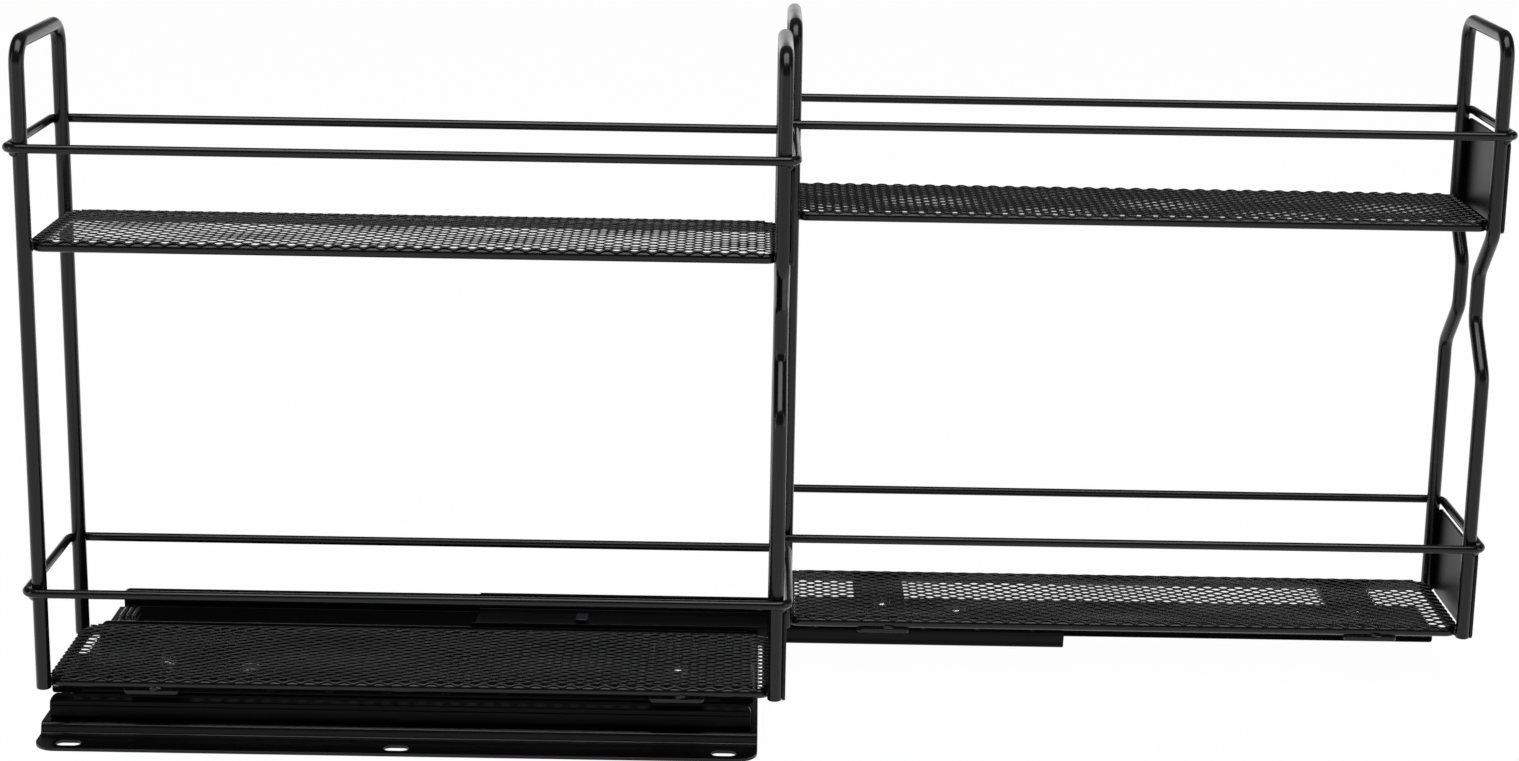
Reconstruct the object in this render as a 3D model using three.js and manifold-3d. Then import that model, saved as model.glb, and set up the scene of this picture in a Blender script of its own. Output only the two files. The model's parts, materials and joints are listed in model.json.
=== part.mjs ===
// Double pull-out spice rack: a formed base plate carries two ball-bearing slides laid flat,
// and each slide carries a two-tier wire rack with expanded-metal shelves.
// Millimetres, +Z up, +X the way a rack pulls out, +Y from the near lane to the far lane.
// The origin is on the underside of the near flange at mid-length, where the base is screwed down.
// The near rack is pushed home and the far rack is pulled right out.

import * as THREE from 'three';
import { mergeVertices } from 'three/addons/utils/BufferGeometryUtils.js';
import Module from 'manifold-3d';

// Gaps
const fitGap = 0.3;                 // between welded or touching pieces that are not flat on each other
const runGap = 0.35;                // between layers of a slide that pass each other
const weldTolerance = 1e-4;         // corners closer than this are one corner

// Base plate
const baseSheet = 1.2;
const baseEndMargin = 2.5;          // plate past each end of the slides
const deckSideMargin = 2.85;        // deck past each side of the slides
const flangeDepth = 15;
const flangeCornerRadius = 8;
const deckRise = 3.8;               // underside of the deck above the floor
const riserLean = 1;                // how far a riser leans over its height
const slotLength = 9;
const slotWidth = 5.2;
const slotFromEdge = 5.6;           // slot centre from the flange's free edge
const slotFromEnd = 12;             // centre of an outer slot from the end of the plate
const originFromEdge = 10;          // origin from the near flange's free edge, behind the middle slot

// Lanes and travel
const laneGap = 9.1;                // between the rails of the two racks
const overTravel = 12;              // a rack's travel beyond the length of its slide

// Slide members
const slideWidth = 45;              // over the outer channel
const slideSheet = 1.2;
const outerLength = 252;
const middleSetback = 11;           // each end of the middle member inside the outer channel's
const innerOverhang = 1;            // each end of the inner member past the outer channel's
const outerLip = 3.4;               // outer channel's lip above its row of balls
const outerLegLean = 1.5;           // outer channel's leg, from web to race
const outerEndRadius = 3;
const middleLip = 1.95;             // middle member's wall above the inner row of balls
const middleBallRise = 1.3;         // outer row of balls above the middle member's web
const middleSway = 1.4;             // how far the middle member's wall sways between the two rows
const middleCornerInset = 1.2;
const innerWallHeight = 5.7;
const innerCornerInset = 1.4;
const innerHeadroom = 1.65;         // under the inner member's walls, above the inner cage's web
const stopTabLength = 5;
const stopTabWidth = 8;
const stopTabFromEnd = 42;          // from the middle member's rear end
const stopTabOverCage = 0.4;

// Balls and cages
const ballDiameter = 3.2;
const raceGap = 0.35;
const outerRaceAngle = THREE.MathUtils.degToRad(65);
const innerRaceAngle = THREE.MathUtils.degToRad(50);
const cageSheet = 0.6;
const cageLength = 100;
const cageLead = 5.5;               // cage centre from mid-slide when the rack is home
const cageOverBall = 0.3;
const cageWebInset = 1.7;           // cage's web ends this far inside its walls
const ballsPerSide = 5;
const ballFromCageEnd = 8;

// Rack
const rearHoopInset = 1.3;          // rear hoop inside the rear end of the inner member
const frontHoopOverhang = 7.3;      // front hoop past the front end of the inner member
const postSpacing = 60.6;           // between the two posts of a hoop
const postWire = 5;
const railWire = 3;
const rimWire = 3.6;
const hoopCornerRadius = 8;
const rimCornerRadius = 3.5;
const rimInset = 1.75;              // rim's long sides inside the line of the posts
const tierPitch = 158;
const railAboveRim = 34.9;
const hoopAboveRail = 35.3;         // top of a hoop above the upper rail
const postBelowRim = 1.7;

// Pinched grip in the front hoop's posts
const pinchDepth = 17;
const pinchSlope = 18;              // height over which a post leans in or out
const pinchStraight = 18;
const pinchBelowRim = 2.8;          // top of the pinch below the upper rim
const pinchBendRadius = 9;

// Shelves, bars and plates
const netSheet = 1.2;
const netColumns = 12;              // coarser than the real expanded metal, in the same diamond lay
const netRows = 5;
const netStrand = 2.6;
const netBorder = 4;
const crossbarSheet = 1.5;
const crossbarWidth = 20;
const crossbarCornerRadius = 2;
const rearCrossbarFromHoop = 38;
const frontCrossbarFromHoop = 35;
const plateSheet = 1;
const plateCornerRadius = 2;
const plateSlit = 3.5;              // between a plate's top edge and the rail above it
const plateBelowRim = 2.2;

// Fasteners and stops
const screwShank = 4;
const screwHead = 8;
const screwHeadHeight = 1.8;
const screwReach = 2;               // shank below the inner member's web
const rivetShank = 4;
const rivetHead = 7.5;
const rivetHeadHeight = 0.7;
const rivetTailHeight = 1.2;
const rivetFromEnd = 56;            // from each end of the outer channel
const stopRivetFromEnd = 69.3;      // from the rear end of the inner member
const stopRivetHeadHeight = 0.9;
const bumperWidth = 24;
const bumperCornerRadius = 3.5;
const bumperUnderInner = 0.5;       // top of the bumper below the inner member's walls

// Facets
const postSides = 10;
const wireSides = 8;
const bendSteps = 4;
const roundSteps = 14;
const cornerSteps = 3;              // in each arc of a flat outline
const ballSegments = 6;
const ballRings = 4;

// Heights above the floor and above the deck
const deckTop = deckRise + baseSheet;
const outerCageWeb = slideSheet + rivetHeadHeight + runGap + cageSheet / 2;
const middleWeb = outerCageWeb + cageSheet / 2 + runGap + slideSheet / 2;
const outerBallHeight = middleWeb + slideSheet / 2 + middleBallRise;
const outerTop = outerBallHeight + outerLip;
const innerCageWeb = middleWeb + slideSheet / 2 + runGap + cageSheet / 2;
const innerBottom = innerCageWeb + cageSheet / 2 + innerHeadroom;
const slideHeight = innerBottom + innerWallHeight;
const innerBallHeight = innerBottom + (innerWallHeight - slideSheet) / 2;
const middleTop = innerBallHeight + middleLip;
const slideTop = deckTop + slideHeight;
const crossbarTop = slideTop + crossbarSheet;
const lowerRimHeight = crossbarTop + fitGap + rimWire / 2;
const upperRimHeight = lowerRimHeight + tierPitch;
const hoopTop = upperRimHeight + railAboveRim + hoopAboveRail;

// Lengths along the slide and widths across the base
const middleLength = outerLength - 2 * middleSetback;
const innerLength = outerLength + 2 * innerOverhang;
const baseLength = outerLength + 2 * baseEndMargin;
const rackTravel = outerLength + overTravel;
const railOffset = (postWire + railWire) / 2 + fitGap;
const lanePitch = postSpacing + 2 * railOffset + railWire + laneGap;
const deckWidth = lanePitch + slideWidth + 2 * deckSideMargin;
const baseWidth = deckWidth + 2 * (riserLean + flangeDepth);
const rivetFromCentre = outerLength / 2 - rivetFromEnd;
const stopRivetFromCentre = innerLength / 2 - stopRivetFromEnd;
const lanes = [
  { name: 'near', side: -1, pulledOut: 0 },
  { name: 'far', side: 1, pulledOut: rackTravel },
];

// Distances across a slide, from its middle
const ballRadius = ballDiameter / 2;
const raceRadius = ballRadius + raceGap + slideSheet / 2;
const outerBallAcross = slideWidth / 2 - slideSheet - raceGap - ballRadius;
const middleWallIn = outerBallAcross - raceRadius;
const middleWallOut = middleWallIn + middleSway;
const innerBallAcross = middleWallOut - raceRadius;

// Places along the rack and across it, from the slide's middle
const rearHoopX = -innerLength / 2 + rearHoopInset;
const frontHoopX = innerLength / 2 + frontHoopOverhang;
const hoopSpacing = frontHoopX - rearHoopX;
const postY = postSpacing / 2;
const rackMiddleX = (rearHoopX + frontHoopX) / 2;
const rimY = postY - rimInset;
const rimReach = postWire / 2 + fitGap + rimWire / 2 + rimCornerRadius;
const rimX = hoopSpacing / 2 + rimCornerRadius - Math.sqrt(rimReach ** 2 - (rimInset + rimCornerRadius) ** 2);

// Finishes
const finish = (color, roughness, metalness) => ({ color, roughness, metalness });
const powderCoat = finish(0x17171a, 0.45, 0);
const slidePaint = finish(0x1c1c1f, 0.35, 0.3);
const cageSteel = finish(0x3a3a3d, 0.4, 0.9);
const screwSteel = finish(0x2b2b2e, 0.3, 0.9);
const bumperPlastic = finish(0xb4b2b8, 0.5, 0);

// Solids and booleans
const wasm = await Module();
wasm.setup();

function toSolid(geometry) {
  const bare = geometry.clone();
  bare.deleteAttribute('normal');
  bare.deleteAttribute('uv');
  const welded = mergeVertices(bare, weldTolerance);
  const corners = [];
  for (let i = 0; i < welded.index.count; i += 3) {
    const [a, b, c] = [0, 1, 2].map((k) => welded.index.getX(i + k));
    if (a !== b && b !== c && c !== a) corners.push(a, b, c);
  }
  const vertProperties = new Float32Array(welded.attributes.position.array);
  const triVerts = new Uint32Array(corners);
  return new wasm.Manifold(new wasm.Mesh({ numProp: 3, vertProperties, triVerts }));
}

function fromSolid(solid) {
  const mesh = solid.getMesh();
  const geometry = new THREE.BufferGeometry();
  geometry.setAttribute('position', new THREE.BufferAttribute(mesh.vertProperties, 3));
  geometry.setIndex(new THREE.BufferAttribute(mesh.triVerts, 1));
  return geometry;
}

function cut(geometry, ...cutters) {
  return fromSolid(cutters.reduce((solid, cutter) => solid.subtract(toSolid(cutter)), toSolid(geometry)));
}

function join(geometry, ...others) {
  return fromSolid(others.reduce((solid, other) => solid.add(toSolid(other)), toSolid(geometry)));
}

function trim(geometry, outline) {
  return fromSolid(toSolid(geometry).intersect(toSolid(outline)));
}

// Flat shapes and straight extrusions

function roundedRectangle(width, height, radius) {
  const x = width / 2 - radius;
  const y = height / 2 - radius;
  const shape = new THREE.Shape();
  shape.absarc(x, y, radius, 0, Math.PI / 2);
  shape.absarc(-x, y, radius, Math.PI / 2, Math.PI);
  shape.absarc(-x, -y, radius, Math.PI, 1.5 * Math.PI);
  shape.absarc(x, -y, radius, 1.5 * Math.PI, 2 * Math.PI);
  return shape;
}

function extrude(shape, depth) {
  return new THREE.ExtrudeGeometry(shape, { depth, bevelEnabled: false, curveSegments: cornerSteps });
}

const crossSectionToX = new THREE.Matrix4().makeBasis(
  new THREE.Vector3(0, 1, 0),
  new THREE.Vector3(0, 0, 1),
  new THREE.Vector3(1, 0, 0),
);

// A cross-section drawn across and up, run along X from one end
function alongX(shape, start, length) {
  return extrude(shape, length).applyMatrix4(crossSectionToX).translate(start, 0, 0);
}

// A cross-section of bent sheet from the line through the middle of its thickness
function sheetSection(middleLine, thickness) {
  const offset = (index, side) => {
    const here = middleLine[index];
    const before = middleLine[Math.max(index - 1, 0)];
    const after = middleLine[Math.min(index + 1, middleLine.length - 1)];
    const arriving = here.clone().sub(before).normalize();
    const leaving = after.clone().sub(here).normalize();
    const along = arriving.add(leaving).normalize();
    const normal = new THREE.Vector2(-along.y, along.x);
    const straight = (index === 0 || index === middleLine.length - 1) ? along : leaving;
    const mitre = straight.x * along.x + straight.y * along.y;
    return here.clone().addScaledVector(normal, (side * thickness) / 2 / mitre);
  };
  const indexes = middleLine.map((_, index) => index);
  const left = indexes.map((index) => offset(index, 1));
  const right = indexes.map((index) => offset(index, -1));
  return new THREE.Shape([...right, ...left.reverse()]);
}

// The middle line of a section that is alike on both sides, from its right half
function bothSides(rightHalf) {
  const leftHalf = rightHalf.map((point) => new THREE.Vector2(-point.x, point.y)).reverse();
  return [...leftHalf, ...rightHalf];
}

function arcPoints(across, up, radius, from, to) {
  const count = 2 * bendSteps;
  return Array.from({ length: count + 1 }, (_, index) => {
    const angle = from + ((to - from) * index) / count;
    return new THREE.Vector2(across + radius * Math.cos(angle), up + radius * Math.sin(angle));
  });
}

// A turned piece: its profile runs from the axis at the bottom to the axis at the top
function turned(profile) {
  const points = profile.map(([radius, height]) => new THREE.Vector2(radius, height));
  return new THREE.LatheGeometry(points, roundSteps).rotateX(Math.PI / 2);
}

function drill(diameter, x, y, bottom, top) {
  const radius = diameter / 2;
  return turned([[0, bottom], [radius, bottom], [radius, top], [0, top]]).translate(x, y, 0);
}

// Bent wire: the path is read only at its stations, so a straight run takes one step

class StationPath extends THREE.Curve {
  constructor(stations) {
    super();
    this.stations = stations;
  }

  station(t) {
    return this.stations[Math.round(t * (this.stations.length - 1))];
  }

  getPoint(t, target = new THREE.Vector3()) {
    return target.copy(this.station(t).point);
  }

  getTangent(t, target = new THREE.Vector3()) {
    return target.copy(this.station(t).tangent);
  }

  getUtoTmapping(u) {
    return u;
  }
}

// Each corner is [point, bend radius]; the first and last have no bend
function bentPath(corners) {
  const stations = [];
  const last = corners.length - 1;
  const heading = (index) => corners[index + 1][0].clone().sub(corners[index][0]).normalize();
  stations.push({ point: corners[0][0], tangent: heading(0) });
  for (let index = 1; index < last; index += 1) {
    const [corner, radius] = corners[index];
    const arriving = heading(index - 1);
    const leaving = heading(index);
    const turn = arriving.angleTo(leaving);
    const start = corner.clone().addScaledVector(arriving, -radius * Math.tan(turn / 2));
    const inward = leaving.clone().addScaledVector(arriving, -arriving.dot(leaving)).normalize();
    for (let step = 0; step <= bendSteps; step += 1) {
      const angle = (turn * step) / bendSteps;
      const point = start.clone()
        .addScaledVector(arriving, radius * Math.sin(angle))
        .addScaledVector(inward, radius * (1 - Math.cos(angle)));
      const tangent = arriving.clone()
        .multiplyScalar(Math.cos(angle))
        .addScaledVector(inward, Math.sin(angle));
      stations.push({ point, tangent });
    }
  }
  stations.push({ point: corners[last][0], tangent: heading(last - 1) });
  return new StationPath(stations);
}

function wire(path, diameter, sides) {
  const section = new THREE.Shape().absarc(0, 0, diameter / 2, 0, 2 * Math.PI);
  const steps = path.stations.length - 1;
  return new THREE.ExtrudeGeometry(section, { steps, curveSegments: sides / 2, extrudePath: path });
}

// A closed wire: the two end lids fall on each other, so only the sides are kept
function wireRing(halfX, halfY, height, cornerRadius, diameter) {
  const at = (x, y) => new THREE.Vector3(rackMiddleX + x, y, height);
  const path = bentPath([
    [at(0, -halfY), 0],
    [at(halfX, -halfY), cornerRadius],
    [at(halfX, halfY), cornerRadius],
    [at(-halfX, halfY), cornerRadius],
    [at(-halfX, -halfY), cornerRadius],
    [at(0, -halfY), 0],
  ]);
  const tube = wire(path, diameter, wireSides);
  const sides = tube.groups[1];
  const corners = tube.attributes.position.array.slice(3 * sides.start, 3 * (sides.start + sides.count));
  const ring = new THREE.BufferGeometry();
  ring.setAttribute('position', new THREE.BufferAttribute(corners, 3));
  return mergeVertices(ring, weldTolerance);
}

// Base plate

function slot(x, y) {
  const reach = (slotLength - slotWidth) / 2;
  const shape = new THREE.Shape();
  shape.absarc(reach, 0, slotWidth / 2, -Math.PI / 2, Math.PI / 2);
  shape.absarc(-reach, 0, slotWidth / 2, Math.PI / 2, 1.5 * Math.PI);
  return extrude(shape, 2 * deckTop).translate(x, y, -deckTop / 2);
}

function basePlate() {
  const flangeHeight = baseSheet / 2;
  const deckHeight = deckRise + baseSheet / 2;
  const edge = baseWidth / 2;
  const bend = edge - flangeDepth;
  const rightHalf = [
    new THREE.Vector2(deckWidth / 2, deckHeight),
    new THREE.Vector2(bend, flangeHeight),
    new THREE.Vector2(edge, flangeHeight),
  ];
  const sheet = alongX(sheetSection(bothSides(rightHalf), baseSheet), -baseLength / 2, baseLength);
  const outline = extrude(roundedRectangle(baseLength, baseWidth, flangeCornerRadius), 2 * deckTop);
  const slotRow = baseWidth / 2 - slotFromEdge;
  const slotEnd = baseLength / 2 - slotFromEnd;
  const slots = [-slotEnd, 0, slotEnd].flatMap((x) => [slot(x, -slotRow), slot(x, slotRow)]);
  const rivetHoles = lanes.flatMap((lane) => [-rivetFromCentre, rivetFromCentre].map((x) => (
    drill(rivetShank + 2 * fitGap, x, (lane.side * lanePitch) / 2, 0, 2 * deckTop)
  )));
  return cut(trim(sheet, outline.translate(0, 0, -deckTop / 2)), ...slots, ...rivetHoles);
}

// Slide members, drawn with the middle of the slide at X 0 and the deck's top at Z 0

function outerChannel() {
  const race = arcPoints(outerBallAcross, outerBallHeight, raceRadius, -outerRaceAngle, outerRaceAngle);
  const legTop = race[0];
  const lipTop = new THREE.Vector2(race.at(-1).x - raceGap, outerTop);
  const rightHalf = [new THREE.Vector2(legTop.x - outerLegLean, slideSheet / 2), ...race, lipTop];
  const channel = alongX(sheetSection(bothSides(rightHalf), slideSheet), -outerLength / 2, outerLength);
  const sideView = roundedRectangle(outerLength, 2 * outerTop, outerEndRadius);
  const outline = extrude(sideView, 2 * slideWidth).rotateX(Math.PI / 2).translate(0, slideWidth, 0);
  const hole = (x) => drill(rivetShank + 2 * fitGap, x, 0, -slideSheet, 2 * slideSheet);
  return cut(trim(channel, outline), hole(-rivetFromCentre), hole(rivetFromCentre));
}

// The middle member's wall sways inwards beside the outer balls and outwards beside the inner balls
function middleMember() {
  const webTop = middleWeb + slideSheet / 2;
  const sway = (height) => {
    const phase = (Math.PI * (height - outerBallHeight)) / (innerBallHeight - outerBallHeight);
    return (middleWallIn + middleWallOut) / 2 - (middleSway / 2) * Math.cos(phase);
  };
  const count = 3 * bendSteps;
  const wall = Array.from({ length: count + 1 }, (_, index) => {
    const height = webTop + ((middleTop - webTop) * index) / count;
    return new THREE.Vector2(sway(height), height);
  });
  const rightHalf = [new THREE.Vector2(wall[0].x - middleCornerInset, middleWeb), ...wall];
  const member = alongX(sheetSection(bothSides(rightHalf), slideSheet), -middleLength / 2, middleLength);
  const tabTop = innerCageWeb + cageSheet / 2 + stopTabOverCage;
  const tabX = -middleLength / 2 + stopTabFromEnd;
  const tab = new THREE.BoxGeometry(stopTabLength, stopTabWidth, tabTop - middleWeb);
  return join(member, tab.translate(tabX, 0, (tabTop + middleWeb) / 2));
}

const crossbarXs = { rear: rearHoopX + rearCrossbarFromHoop, front: frontHoopX - frontCrossbarFromHoop };

function innerMember() {
  const web = slideHeight - slideSheet / 2;
  const towards = Math.PI;
  const race = arcPoints(
    innerBallAcross,
    innerBallHeight,
    raceRadius,
    towards - innerRaceAngle,
    towards + innerRaceAngle,
  );
  const wallFoot = new THREE.Vector2(race.at(-1).x, innerBottom);
  const rightHalf = [new THREE.Vector2(race[0].x - innerCornerInset, web), ...race, wallFoot];
  const member = alongX(sheetSection(bothSides(rightHalf), slideSheet), -innerLength / 2, innerLength);
  const hole = (diameter, x) => drill(diameter + 2 * fitGap, x, 0, innerBallHeight, 2 * slideHeight);
  return cut(
    member,
    hole(screwShank, crossbarXs.rear),
    hole(screwShank, crossbarXs.front),
    hole(rivetShank, -stopRivetFromCentre),
  );
}

// A cage is one strip: a web across the slide and a wall each side that holds a row of balls
function ballCage(web, ballAcross, ballHeight, centre) {
  const wallTop = ballHeight + ballRadius + cageOverBall;
  const rightHalf = [
    new THREE.Vector2(ballAcross - cageWebInset, web),
    new THREE.Vector2(ballAcross, web + cageWebInset),
    new THREE.Vector2(ballAcross, wallTop),
  ];
  const strip = alongX(sheetSection(bothSides(rightHalf), cageSheet), centre - cageLength / 2, cageLength);
  const balls = [];
  const ballPitch = (cageLength - 2 * ballFromCageEnd) / (ballsPerSide - 1);
  for (let index = 0; index < ballsPerSide; index += 1) {
    const x = centre + (index - (ballsPerSide - 1) / 2) * ballPitch;
    for (const side of [-1, 1]) {
      const ball = new THREE.SphereGeometry(ballRadius, ballSegments, ballRings).rotateX(Math.PI / 2);
      balls.push(ball.translate(x, side * ballAcross, ballHeight));
    }
  }
  return join(strip, ...balls);
}

// A moulded block that the middle member meets when the rack is home
function rearBumper() {
  const length = (outerLength - middleLength) / 2 - fitGap;
  const top = innerBottom - bumperUnderInner;
  const shape = roundedRectangle(length, bumperWidth, bumperCornerRadius);
  const block = extrude(shape, top - slideSheet);
  return block.translate(-outerLength / 2 + length / 2, 0, slideSheet);
}

// Fasteners, drawn with the underside of the head at Z 0

function rivet(grip, headHeight) {
  const head = rivetHead / 2;
  const shank = rivetShank / 2;
  const tail = (head + shank) / 2;
  return turned([
    [0, -grip - rivetTailHeight],
    [tail, -grip - rivetTailHeight],
    [tail, -grip],
    [shank, -grip],
    [shank, 0],
    [head, 0],
    [head, headHeight / 2],
    [tail, headHeight],
    [0, headHeight],
  ]);
}

function shelfScrew() {
  const head = screwHead / 2;
  const shank = screwShank / 2;
  const tip = -crossbarSheet - slideSheet - screwReach;
  return turned([
    [0, tip],
    [shank, tip],
    [shank, 0],
    [head, 0],
    [head, screwHeadHeight / 2],
    [head - screwHeadHeight / 2, screwHeadHeight],
    [0, screwHeadHeight],
  ]);
}

// Rack pieces, drawn with the slide's middle at X 0 and the floor at Z 0

function hoop(x, pinched) {
  const foot = lowerRimHeight - postBelowRim;
  const at = (y, z) => new THREE.Vector3(x, y, z);
  const pinchTop = upperRimHeight - pinchBelowRim;
  const pinch = (side) => [
    [at(side * postY, pinchTop), pinchBendRadius],
    [at(side * (postY - pinchDepth), pinchTop - pinchSlope), pinchBendRadius],
    [at(side * (postY - pinchDepth), pinchTop - pinchSlope - pinchStraight), pinchBendRadius],
    [at(side * postY, pinchTop - 2 * pinchSlope - pinchStraight), pinchBendRadius],
  ];
  const corners = [
    [at(-postY, foot), 0],
    ...(pinched ? pinch(-1).reverse() : []),
    [at(-postY, hoopTop), hoopCornerRadius],
    [at(postY, hoopTop), hoopCornerRadius],
    ...(pinched ? pinch(1) : []),
    [at(postY, foot), 0],
  ];
  return wire(bentPath(corners), postWire, postSides);
}

// The rail bends round the four posts, so its corner is struck from the post's middle
function rail(rimHeight) {
  const halfX = hoopSpacing / 2 + railOffset;
  const halfY = postY + railOffset;
  return wireRing(halfX, halfY, rimHeight + railAboveRim, railOffset, railWire);
}

function rim(rimHeight) {
  return wireRing(rimX, rimY, rimHeight, rimCornerRadius, rimWire);
}

// A flat net with diamond gaps in staggered rows, lying on the rim
function shelfNet(rimHeight) {
  const halfX = rimX + rimWire / 2;
  const halfY = rimY + rimWire / 2;
  const sheet = roundedRectangle(2 * halfX, 2 * halfY, rimCornerRadius + rimWire / 2);
  const cellLength = (2 * (halfX - netBorder)) / netColumns;
  const cellWidth = (4 * (halfY - netBorder)) / (netRows + 1);
  const shrink = 1 - netStrand * Math.hypot(1 / cellLength, 1 / cellWidth);
  const gapX = (cellLength / 2) * shrink;
  const gapY = (cellWidth / 2) * shrink;
  for (let row = 0; row < netRows; row += 1) {
    const y = ((row - (netRows - 1) / 2) * cellWidth) / 2;
    const columns = netColumns - (row % 2);
    for (let column = 0; column < columns; column += 1) {
      const x = (column - (columns - 1) / 2) * cellLength;
      sheet.holes.push(new THREE.Path([
        new THREE.Vector2(x - gapX, y),
        new THREE.Vector2(x, y - gapY),
        new THREE.Vector2(x + gapX, y),
        new THREE.Vector2(x, y + gapY),
      ]));
    }
  }
  return extrude(sheet, netSheet).translate(rackMiddleX, 0, rimHeight + rimWire / 2 + fitGap);
}

function endPlate(rimHeight) {
  const bottom = rimHeight - plateBelowRim;
  const top = rimHeight + railAboveRim - railWire / 2 - plateSlit;
  const shape = roundedRectangle(postSpacing + postWire, top - bottom, plateCornerRadius);
  const start = frontHoopX + postWire / 2 + fitGap;
  return alongX(shape, start, plateSheet).translate(0, 0, (top + bottom) / 2);
}

function crossbar(x) {
  const length = 2 * rimY + rimWire;
  const bar = extrude(roundedRectangle(crossbarWidth, length, crossbarCornerRadius), crossbarSheet);
  const hole = drill(screwShank + 2 * fitGap, 0, 0, -crossbarSheet, 2 * crossbarSheet);
  return cut(bar, hole).translate(x, 0, slideTop);
}

// Assembly

function addPiece(group, name, geometry, look) {
  const mesh = new THREE.Mesh(geometry, new THREE.MeshStandardMaterial(look));
  mesh.name = name;
  group.add(mesh);
  return mesh;
}

function addSlide(group, lane) {
  const ride = (share) => share * lane.pulledOut;
  addPiece(group, `${lane.name}_slide_outer`, outerChannel(), slidePaint);
  addPiece(group, `${lane.name}_slide_middle`, middleMember(), slidePaint).position.x = ride(1 / 2);
  addPiece(group, `${lane.name}_slide_inner`, innerMember(), slidePaint).position.x = ride(1);
  const outerCage = ballCage(outerCageWeb, outerBallAcross, outerBallHeight, cageLead);
  const innerCage = ballCage(innerCageWeb, innerBallAcross, innerBallHeight, -cageLead);
  addPiece(group, `${lane.name}_outer_ball_cage`, outerCage, cageSteel).position.x = ride(1 / 4);
  addPiece(group, `${lane.name}_inner_ball_cage`, innerCage, cageSteel).position.x = ride(3 / 4);
  addPiece(group, `${lane.name}_rear_bumper`, rearBumper(), bumperPlastic);
  for (const [end, x] of Object.entries({ rear: -rivetFromCentre, front: rivetFromCentre })) {
    const baseRivet = rivet(slideSheet + baseSheet, rivetHeadHeight).translate(x, 0, slideSheet);
    addPiece(group, `${lane.name}_${end}_base_rivet`, baseRivet, screwSteel);
  }
  const stopRivet = rivet(slideSheet, stopRivetHeadHeight).translate(-stopRivetFromCentre, 0, slideHeight);
  addPiece(group, `${lane.name}_stop_rivet`, stopRivet, screwSteel).position.x = ride(1);
}

function addRack(group, lane) {
  addPiece(group, `${lane.name}_rear_hoop`, hoop(rearHoopX, false), powderCoat);
  addPiece(group, `${lane.name}_front_hoop`, hoop(frontHoopX, true), powderCoat);
  const tiers = { lower: lowerRimHeight, upper: upperRimHeight };
  for (const [tier, rimHeight] of Object.entries(tiers)) {
    addPiece(group, `${lane.name}_${tier}_rail`, rail(rimHeight), powderCoat);
    addPiece(group, `${lane.name}_${tier}_rim`, rim(rimHeight), powderCoat);
    addPiece(group, `${lane.name}_${tier}_mesh`, shelfNet(rimHeight), powderCoat);
    addPiece(group, `${lane.name}_${tier}_end_plate`, endPlate(rimHeight), powderCoat);
  }
  for (const [end, x] of Object.entries(crossbarXs)) {
    addPiece(group, `${lane.name}_${end}_crossbar`, crossbar(x), powderCoat);
    const screw = addPiece(group, `${lane.name}_${end}_shelf_screw`, shelfScrew(), screwSteel);
    screw.position.set(x, 0, crossbarTop);
  }
}

const spiceRack = new THREE.Group();
spiceRack.position.y = baseWidth / 2 - originFromEdge;
addPiece(spiceRack, 'base_plate', basePlate(), powderCoat);
for (const lane of lanes) {
  const slide = new THREE.Group();
  slide.position.set(0, (lane.side * lanePitch) / 2, deckTop);
  addSlide(slide, lane);
  const rack = new THREE.Group();
  rack.position.set(lane.pulledOut, (lane.side * lanePitch) / 2, 0);
  addRack(rack, lane);
  spiceRack.add(slide, rack);
}

export default spiceRack;
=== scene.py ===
import json
import math
import bmesh
import bpy
from mathutils import Matrix, Vector


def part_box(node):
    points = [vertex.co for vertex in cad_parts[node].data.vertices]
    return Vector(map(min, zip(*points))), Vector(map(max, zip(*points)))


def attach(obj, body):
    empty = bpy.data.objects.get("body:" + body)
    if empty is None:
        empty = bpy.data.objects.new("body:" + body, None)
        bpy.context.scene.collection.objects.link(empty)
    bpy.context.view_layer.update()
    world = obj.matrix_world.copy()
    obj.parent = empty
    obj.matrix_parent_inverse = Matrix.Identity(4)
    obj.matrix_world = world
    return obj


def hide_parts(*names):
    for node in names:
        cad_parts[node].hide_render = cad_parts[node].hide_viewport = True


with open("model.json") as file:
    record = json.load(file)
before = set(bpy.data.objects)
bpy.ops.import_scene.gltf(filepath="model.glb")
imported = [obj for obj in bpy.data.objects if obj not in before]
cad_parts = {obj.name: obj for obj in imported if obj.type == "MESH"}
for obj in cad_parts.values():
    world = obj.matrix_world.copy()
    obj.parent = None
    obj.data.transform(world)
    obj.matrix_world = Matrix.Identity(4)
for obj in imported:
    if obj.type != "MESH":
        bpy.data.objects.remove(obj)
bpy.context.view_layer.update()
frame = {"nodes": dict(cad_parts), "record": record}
mm = 0.001
lanes = ("near", "far")
tiers = ("lower", "upper")
ends = ("rear", "front")
print("frame loaded,", len(frame["nodes"]), "nodes")


# an sRGB hex colour as the linear colour that nodes take
def linear(hexColour):
    parts = [int(hexColour[i:i + 2], 16) / 255 for i in (1, 3, 5)]
    return [c / 12.92 if c <= 0.04045 else ((c + 0.055) / 1.055) ** 2.4 for c in parts] + [1.0]


# a node with its values set and its inputs linked; a whole number names a socket by its place
def addNode(tree, kind, settings=None, links=None):
    node = tree.nodes.new(kind)
    for key, value in (settings or {}).items():
        if isinstance(key, int) or key in node.inputs:
            node.inputs[key].default_value = value
        else:
            setattr(node, key, value)
    for key, source in (links or {}).items():
        tree.links.new(source, node.inputs[key])
    return node


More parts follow.
